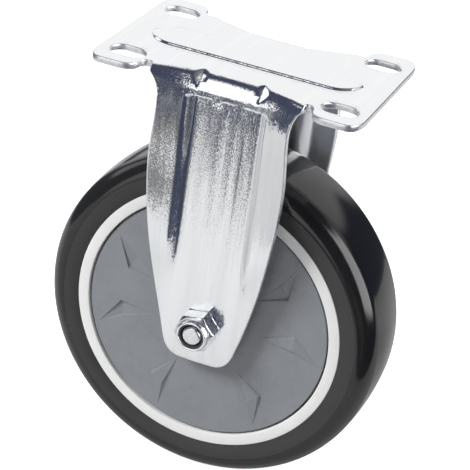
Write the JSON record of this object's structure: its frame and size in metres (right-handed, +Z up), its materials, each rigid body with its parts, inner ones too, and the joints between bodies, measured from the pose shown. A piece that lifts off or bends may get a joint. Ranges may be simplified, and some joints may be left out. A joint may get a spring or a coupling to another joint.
{
  "type": "fixed castor",
  "caption": "Fixed plate castor: a folded zinc-plated steel fork with a slotted top plate holds a wheel with a black tyre and grey covers on ball bearings.",
  "frame": {"origin": "centre of the plate's flat top, where the four slots' pattern has its centre", "axes": "+Z up out of the plate's top, +X along the plate's length, the wheel's axle along Y, the nut to -Y"},
  "size_m": [0.125, 0.067, 0.1584],
  "materials": {
    "zinc_sheet": "bright zinc plating, blue-white, with fine rolling streaks",
    "zinc_bolt": "bright zinc plating",
    "zinc_nut": "bright zinc plating",
    "nylon_ring": "matte nylon",
    "bush_steel": "turned steel, zinc-plated",
    "bearing_steel": "ground",
    "shield_steel": "pressed, satin",
    "cage_nylon": "natural nylon",
    "ball_steel": "polished",
    "tyre_black": "glossy tread and shoulder, duller side",
    "core_white": "moulded, semi-gloss",
    "cover_grey": "moulded, satin"
  },
  "bodies": {
    "fork": {"fork_bracket": "zinc_sheet", "axle_bolt": "zinc_bolt", "axle_nut": "zinc_nut", "nut_insert": "nylon_ring", "bearing_spacer_tube": "bush_steel", "side_spacer_front": "bush_steel", "side_spacer_back": "bush_steel", "bearing_front_inner_ring": "bearing_steel", "bearing_back_inner_ring": "bearing_steel"},
    "wheel": {"tyre": "tyre_black", "wheel_core": "core_white", "wheel_cover_front": "cover_grey", "wheel_cover_back": "cover_grey", "bearing_front_outer_ring": "bearing_steel", "bearing_front_outside_shield": "shield_steel", "bearing_front_inside_shield": "shield_steel", "bearing_back_outer_ring": "bearing_steel", "bearing_back_outside_shield": "shield_steel", "bearing_back_inside_shield": "shield_steel"},
    "front_ball_set": {"bearing_front_cage": "cage_nylon", "bearing_front_ball_1": "ball_steel", "bearing_front_ball_2": "ball_steel", "bearing_front_ball_3": "ball_steel", "bearing_front_ball_4": "ball_steel", "bearing_front_ball_5": "ball_steel", "bearing_front_ball_6": "ball_steel", "bearing_front_ball_7": "ball_steel"},
    "back_ball_set": {"bearing_back_cage": "cage_nylon", "bearing_back_ball_1": "ball_steel", "bearing_back_ball_2": "ball_steel", "bearing_back_ball_3": "ball_steel", "bearing_back_ball_4": "ball_steel", "bearing_back_ball_5": "ball_steel", "bearing_back_ball_6": "ball_steel", "bearing_back_ball_7": "ball_steel"}
  },
  "joints": [
    {"name": "wheel_spin", "type": "hinge", "parent": "fork", "child": "wheel", "pos_m": [0, 0, -0.095], "axis": [0, 1, 0], "continuous": true},
    {"name": "front_cage_spin", "type": "hinge", "parent": "fork", "child": "front_ball_set", "pos_m": [0, -0.0115, -0.095], "axis": [0, 1, 0], "continuous": true},
    {"name": "back_cage_spin", "type": "hinge", "parent": "fork", "child": "back_ball_set", "pos_m": [0, 0.0115, -0.095], "axis": [0, 1, 0], "continuous": true}
  ],
  "couplings": [
    {"joint": "front_cage_spin", "follows": "wheel_spin", "ratio": 0.6323},
    {"joint": "back_cage_spin", "follows": "wheel_spin", "ratio": 0.6323}
  ]
}
